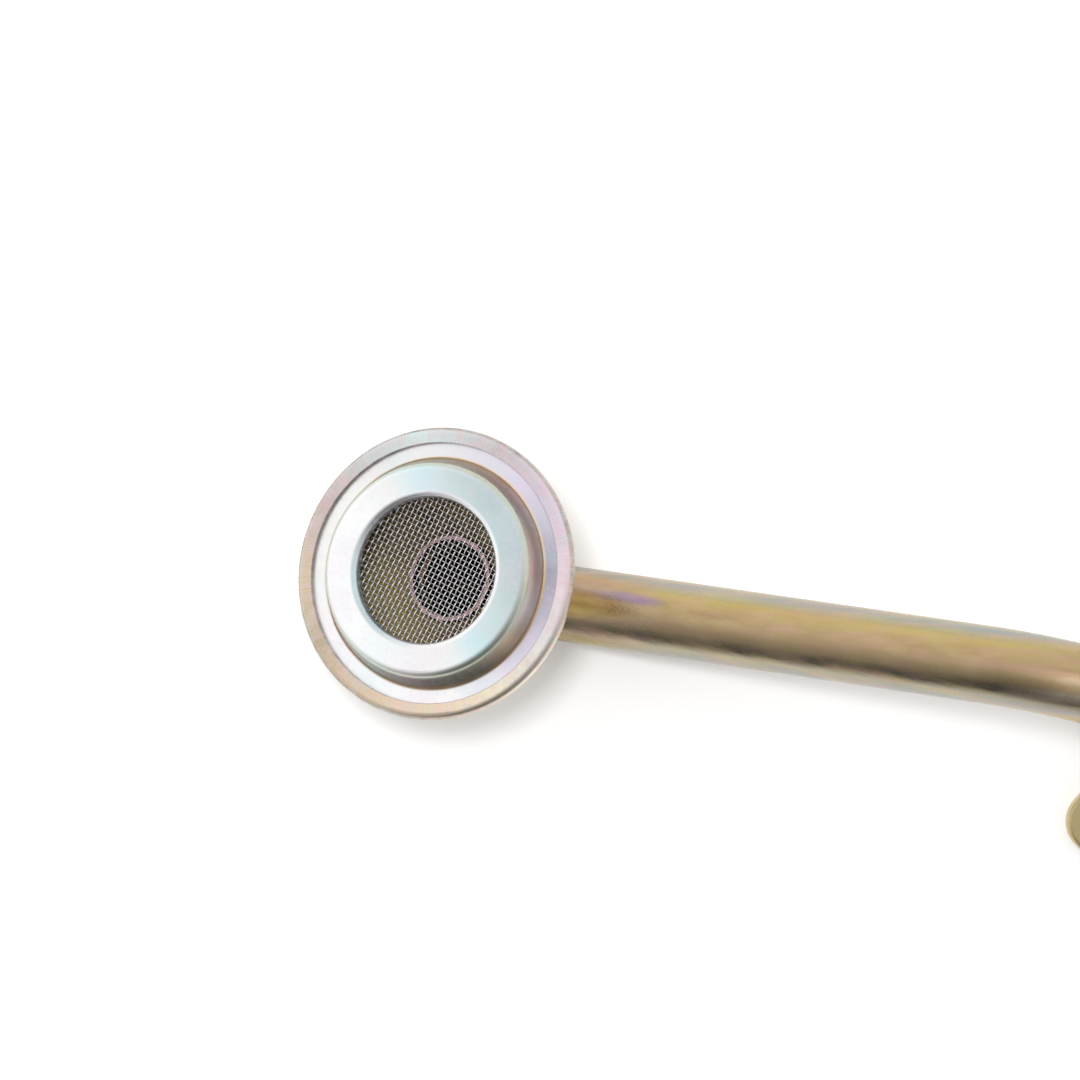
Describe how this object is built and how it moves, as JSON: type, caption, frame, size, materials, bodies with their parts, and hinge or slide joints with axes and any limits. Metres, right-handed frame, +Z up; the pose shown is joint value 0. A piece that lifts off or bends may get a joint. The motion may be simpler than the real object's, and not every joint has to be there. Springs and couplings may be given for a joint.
{
  "type": "oil pick-up tube",
  "caption": "Bent steel oil pick-up tube with a round mesh strainer head at one end and a two-bolt mounting flange at the other.",
  "frame": {"origin": "centre of the outlet bore on the flange's sealing face", "axes": "+Z up out of the sealing face and along the tube's last straight, the strainer head towards -X; the part rests on the plane z = 0"},
  "size_m": [0.2505, 0.1118, 0.0575],
  "materials": {
    "plated_cap": "yellow zinc plating with pale iridescence",
    "plated_bell": "yellow zinc plating, gold to lavender",
    "plated_tube": "yellow zinc plating, olive gold",
    "plated_flange": "yellow zinc plating, tan gold",
    "wire": "bright woven wire",
    "braze": "plated braze"
  },
  "bodies": {
    "root": {"strainer_cap": "plated_cap", "strainer_bell": "plated_bell", "wire_screen": "wire", "suction_tube": "plated_tube", "mounting_flange": "plated_flange", "head_braze_ring": "braze", "flange_braze_ring": "braze"}
  },
  "joints": []
}
